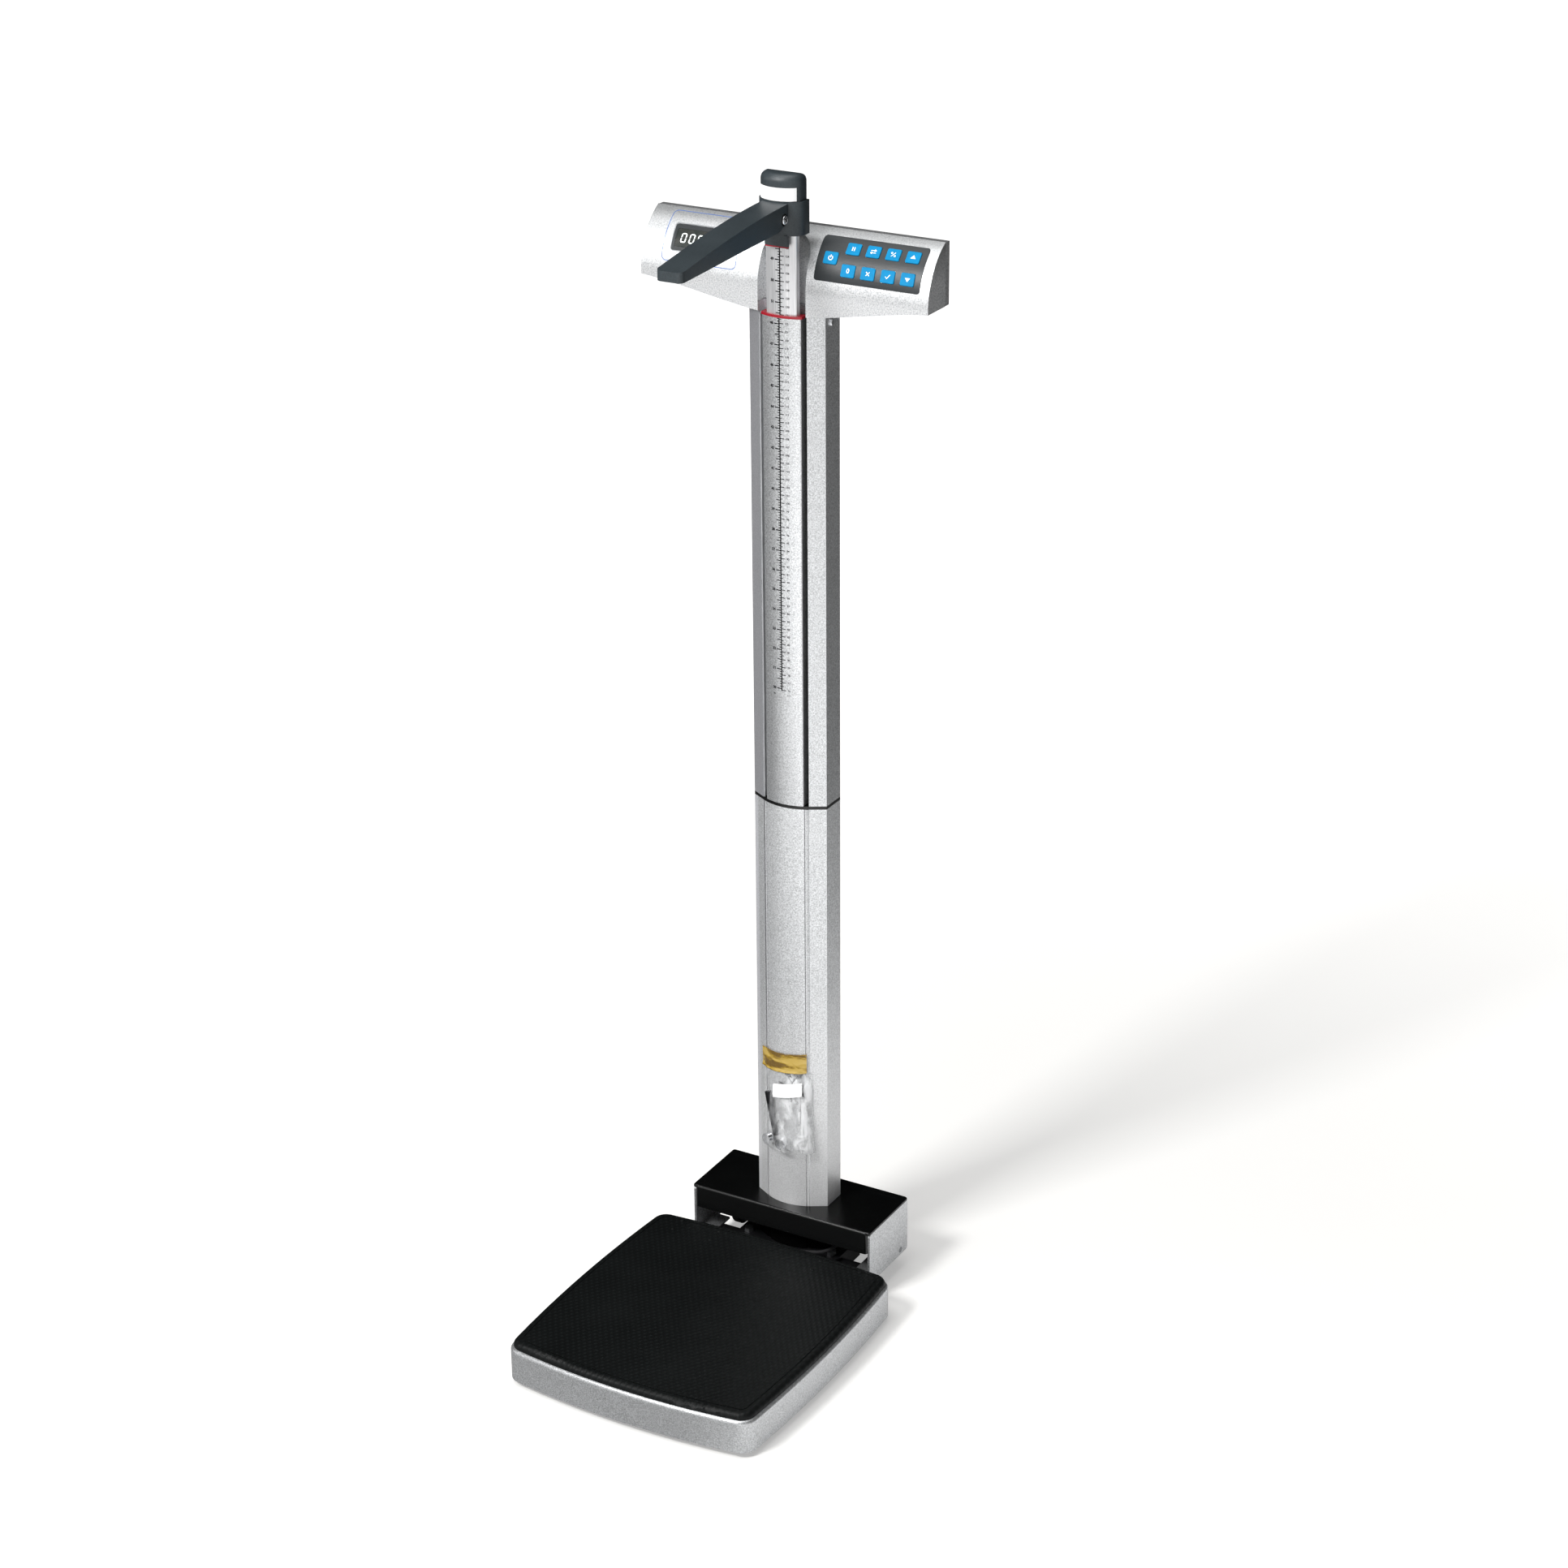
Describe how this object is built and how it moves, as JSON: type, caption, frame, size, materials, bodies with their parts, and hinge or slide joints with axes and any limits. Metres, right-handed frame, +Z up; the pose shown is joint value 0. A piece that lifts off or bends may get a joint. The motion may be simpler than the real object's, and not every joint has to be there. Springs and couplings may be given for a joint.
{
  "type": "physician scale",
  "caption": "Free-standing digital weighing scale with a low mat-topped platform, a column, a telescoping height rod with a fold-down headpiece, a keypad head and transport wheels",
  "frame": {"origin": "on the floor, midway between the platform's front edge and the rear of the transport wheels, on the plane of symmetry", "axes": "+Z up; -Y towards the person who steps on; +X to the right of someone who faces the display"},
  "size_m": [0.3822, 0.5059, 1.457],
  "materials": {
    "silver_paint": "satin, fine metallic grain",
    "anodised_rod": "satin anodised",
    "black_mat": "matte, fine texture",
    "black_steel": "satin black powder coat",
    "black_plastic": "semi-gloss black",
    "carriage_plastic": "satin dark blue-grey",
    "red_plastic": "glossy",
    "foot_rubber": "matte",
    "wheel_rubber": "matte grey-black",
    "zinc_steel": "zinc plated",
    "load_cell_metal": "machined",
    "chrome": "polished",
    "keypad_gloss": "glossy black overlay",
    "display_glass": "dark glossy window",
    "key_blue": "glossy cyan blue",
    "board_green": "solder-masked board",
    "module_grey": "satin",
    "battery_wrap": "plain sleeve",
    "cable_black": "matte jacket",
    "clear_film": "clear polythene",
    "amber_tape": "translucent amber",
    "white_card": "paper",
    "black_oxide": "black oxide"
  },
  "bodies": {
    "scale_base": {"accessory_bag": "clear_film", "bag_card": "white_card", "bag_tape": "amber_tape", "base_bracket": "silver_paint", "base_cover": "black_plastic", "base_frame": "black_steel", "battery_cells": "battery_wrap", "battery_door": "silver_paint", "battery_tray": "black_plastic", "circuit_board": "board_green", "column_foot": "black_steel", "column_joiner": "black_plastic", "column_lower": "silver_paint", "column_screws": "chrome", "column_upper": "silver_paint", "display_bezel": "keypad_gloss", "display_window": "display_glass", "foot_bolts": "zinc_steel", "groove_liners": "black_plastic", "head_back_shell": "silver_paint", "head_bracket": "zinc_steel", "head_front_shell": "silver_paint", "head_screws": "chrome", "height_rail": "silver_paint", "hex_key": "black_oxide", "keypad_overlay": "keypad_gloss", "lcd_module": "module_grey", "load_cells": "load_cell_metal", "platform_beams": "black_steel", "platform_cover": "silver_paint", "platform_mat": "black_mat", "power_inlet": "black_plastic", "rail_collar": "red_plastic", "signal_cable": "cable_black", "spare_bolts": "chrome", "summing_board": "board_green", "wheel_axle": "zinc_steel"},
    "height_rod": {"inner_rod": "anodised_rod", "rod_bush": "black_plastic", "rod_head": "silver_paint", "rod_cap": "carriage_plastic"},
    "carriage": {"carriage": "carriage_plastic", "pointer_line": "red_plastic"},
    "headpiece": {"headpiece_arm": "carriage_plastic", "pivot_screw": "chrome"},
    "wheel_left": {"wheel_left": "wheel_rubber"},
    "wheel_right": {"wheel_right": "wheel_rubber"},
    "key_power": {"key_power": "key_blue"},
    "key_hold": {"key_hold": "key_blue"},
    "key_unit": {"key_unit": "key_blue"},
    "key_bmi": {"key_bmi": "key_blue"},
    "key_up": {"key_up": "key_blue"},
    "key_zero": {"key_zero": "key_blue"},
    "key_clear": {"key_clear": "key_blue"},
    "key_enter": {"key_enter": "key_blue"},
    "key_down": {"key_down": "key_blue"},
    "level_foot_front_left": {"level_foot_front_left": "foot_rubber"},
    "level_foot_front_right": {"level_foot_front_right": "foot_rubber"},
    "level_foot_rear_left": {"level_foot_rear_left": "foot_rubber"},
    "level_foot_rear_right": {"level_foot_rear_right": "foot_rubber"}
  },
  "joints": [
    {"name": "rod_slide", "type": "slide", "parent": "scale_base", "child": "height_rod", "axis": [0, 0, 1], "range_m": [-0.096, 0.822]},
    {"name": "carriage_slide", "type": "slide", "parent": "height_rod", "child": "carriage", "axis": [0, 0, 1], "range_m": [-0.5515, 0]},
    {"name": "headpiece_fold", "type": "hinge", "parent": "carriage", "child": "headpiece", "pos_m": [0, 0.1425, 1.4076], "axis": [1, 0, 0], "range_deg": [0, 80]},
    {"name": "wheel_left_spin", "type": "hinge", "parent": "scale_base", "child": "wheel_left", "pos_m": [-0.106, 0.229, 0.032], "axis": [1, 0, 0], "continuous": true},
    {"name": "wheel_right_spin", "type": "hinge", "parent": "scale_base", "child": "wheel_right", "pos_m": [0.106, 0.229, 0.032], "axis": [1, 0, 0], "continuous": true},
    {"name": "foot_front_left_screw", "type": "slide", "parent": "scale_base", "child": "level_foot_front_left", "axis": [0, 0, -1], "range_m": [-0.003, 0.008]},
    {"name": "foot_front_right_screw", "type": "slide", "parent": "scale_base", "child": "level_foot_front_right", "axis": [0, 0, -1], "range_m": [-0.003, 0.008]},
    {"name": "foot_rear_left_screw", "type": "slide", "parent": "scale_base", "child": "level_foot_rear_left", "axis": [0, 0, -1], "range_m": [-0.003, 0.008]},
    {"name": "foot_rear_right_screw", "type": "slide", "parent": "scale_base", "child": "level_foot_rear_right", "axis": [0, 0, -1], "range_m": [-0.003, 0.008]},
    {"name": "key_power_press", "type": "slide", "parent": "scale_base", "child": "key_power", "axis": [0, 0.845, -0.5347], "range_m": [0, 0.0006], "stiffness_N_per_m": 800, "springref_m": -0.0003},
    {"name": "key_hold_press", "type": "slide", "parent": "scale_base", "child": "key_hold", "axis": [0, 0.7413, -0.6712], "range_m": [0, 0.0006], "stiffness_N_per_m": 800, "springref_m": -0.0003},
    {"name": "key_unit_press", "type": "slide", "parent": "scale_base", "child": "key_unit", "axis": [0, 0.7413, -0.6712], "range_m": [0, 0.0006], "stiffness_N_per_m": 800, "springref_m": -0.0003},
    {"name": "key_bmi_press", "type": "slide", "parent": "scale_base", "child": "key_bmi", "axis": [0, 0.7413, -0.6712], "range_m": [0, 0.0006], "stiffness_N_per_m": 800, "springref_m": -0.0003},
    {"name": "key_up_press", "type": "slide", "parent": "scale_base", "child": "key_up", "axis": [0, 0.7413, -0.6712], "range_m": [0, 0.0006], "stiffness_N_per_m": 800, "springref_m": -0.0003},
    {"name": "key_zero_press", "type": "slide", "parent": "scale_base", "child": "key_zero", "axis": [0, 0.9178, -0.397], "range_m": [0, 0.0006], "stiffness_N_per_m": 800, "springref_m": -0.0003},
    {"name": "key_clear_press", "type": "slide", "parent": "scale_base", "child": "key_clear", "axis": [0, 0.9178, -0.397], "range_m": [0, 0.0006], "stiffness_N_per_m": 800, "springref_m": -0.0003},
    {"name": "key_enter_press", "type": "slide", "parent": "scale_base", "child": "key_enter", "axis": [0, 0.9178, -0.397], "range_m": [0, 0.0006], "stiffness_N_per_m": 800, "springref_m": -0.0003},
    {"name": "key_down_press", "type": "slide", "parent": "scale_base", "child": "key_down", "axis": [0, 0.9178, -0.397], "range_m": [0, 0.0006], "stiffness_N_per_m": 800, "springref_m": -0.0003}
  ]
}
